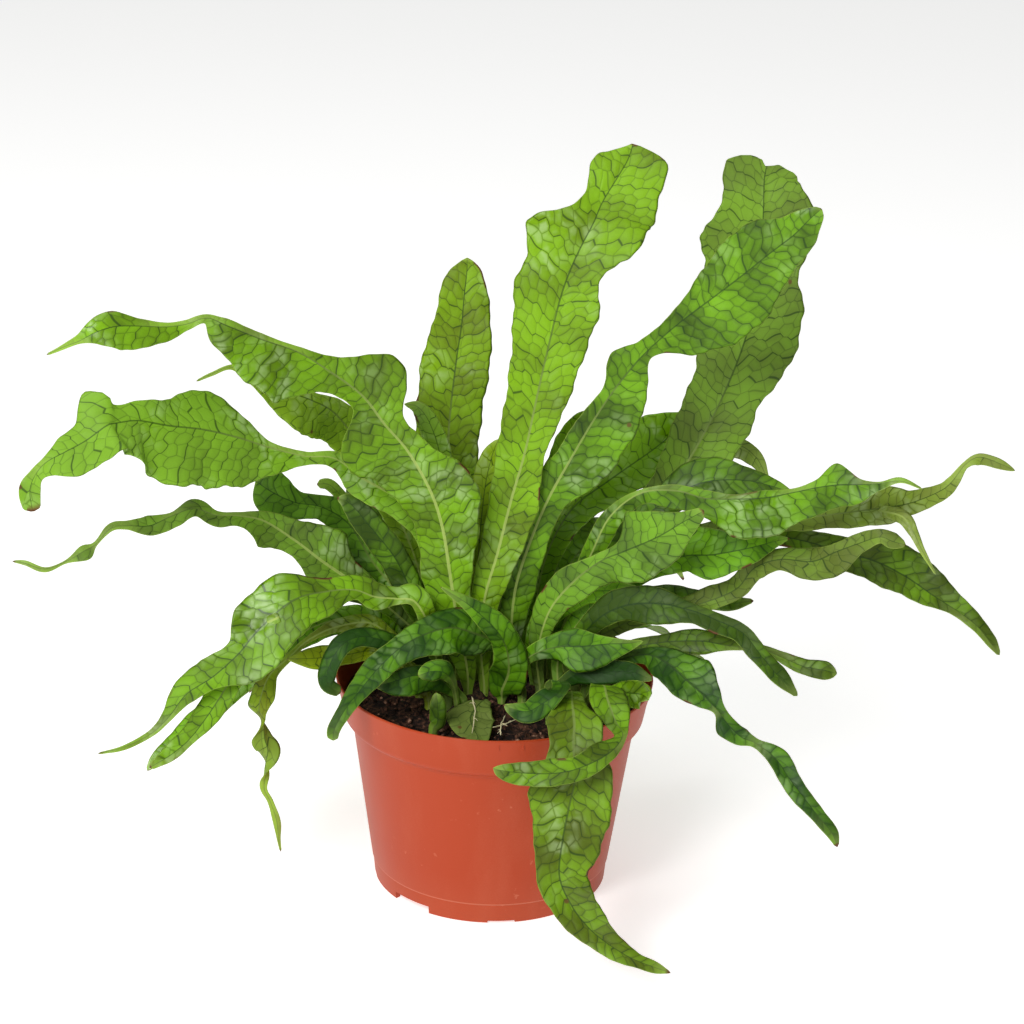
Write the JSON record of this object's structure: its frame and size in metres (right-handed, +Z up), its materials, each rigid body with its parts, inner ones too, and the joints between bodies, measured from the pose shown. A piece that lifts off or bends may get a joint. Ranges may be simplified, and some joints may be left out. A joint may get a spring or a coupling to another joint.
{
  "type": "potted crocodile fern",
  "caption": "Fern with long net-veined, wavy-edged strap fronds that arch and hang from a round tapered nursery pot filled with peat.",
  "frame": {"origin": "centre of the pot's foot, on the surface that it stands on", "axes": "+Z up along the pot's axis; -Y towards the viewer, the side that the longest hanging frond falls over; +X to the viewer's right"},
  "size_m": [0.474, 0.3516, 0.3757],
  "materials": {
    "pot": "satin terracotta-coloured plastic",
    "peat": "rough, crumbly and damp",
    "rhizome": "rough and scaly",
    "dry_root": "dry fibre",
    "frond": "leathery with a soft gloss, dark net veins"
  },
  "bodies": {
    "root": {"pot": "pot", "soil": "peat", "rhizome": "rhizome", "dry_root_1": "dry_root", "dry_root_2": "dry_root", "frond_01": "frond", "frond_02": "frond", "frond_03": "frond", "frond_04": "frond", "frond_05": "frond", "frond_06": "frond", "frond_07": "frond", "frond_08": "frond", "frond_09": "frond", "frond_10": "frond", "frond_11": "frond", "frond_12": "frond", "frond_13": "frond", "frond_14": "frond", "frond_15": "frond", "frond_16": "frond", "frond_17": "frond", "frond_18": "frond", "frond_19": "frond", "frond_20": "frond", "frond_21": "frond", "frond_22": "frond", "frond_23": "frond", "frond_24": "frond", "frond_25": "frond", "frond_26": "frond", "frond_27": "frond", "frond_28": "frond", "frond_29": "frond", "frond_30": "frond", "frond_31": "frond", "frond_32": "frond", "frond_33": "frond", "frond_34": "frond", "frond_35": "frond", "frond_36": "frond", "frond_37": "frond", "frond_38": "frond", "frond_39": "frond", "frond_40": "frond", "frond_41": "frond", "frond_42": "frond", "frond_43": "frond", "frond_44": "frond", "frond_45": "frond", "frond_46": "frond", "frond_47": "frond", "frond_48": "frond", "frond_49": "frond", "frond_50": "frond", "frond_51": "frond", "frond_52": "frond", "frond_53": "frond", "frond_54": "frond"}
  },
  "joints": []
}
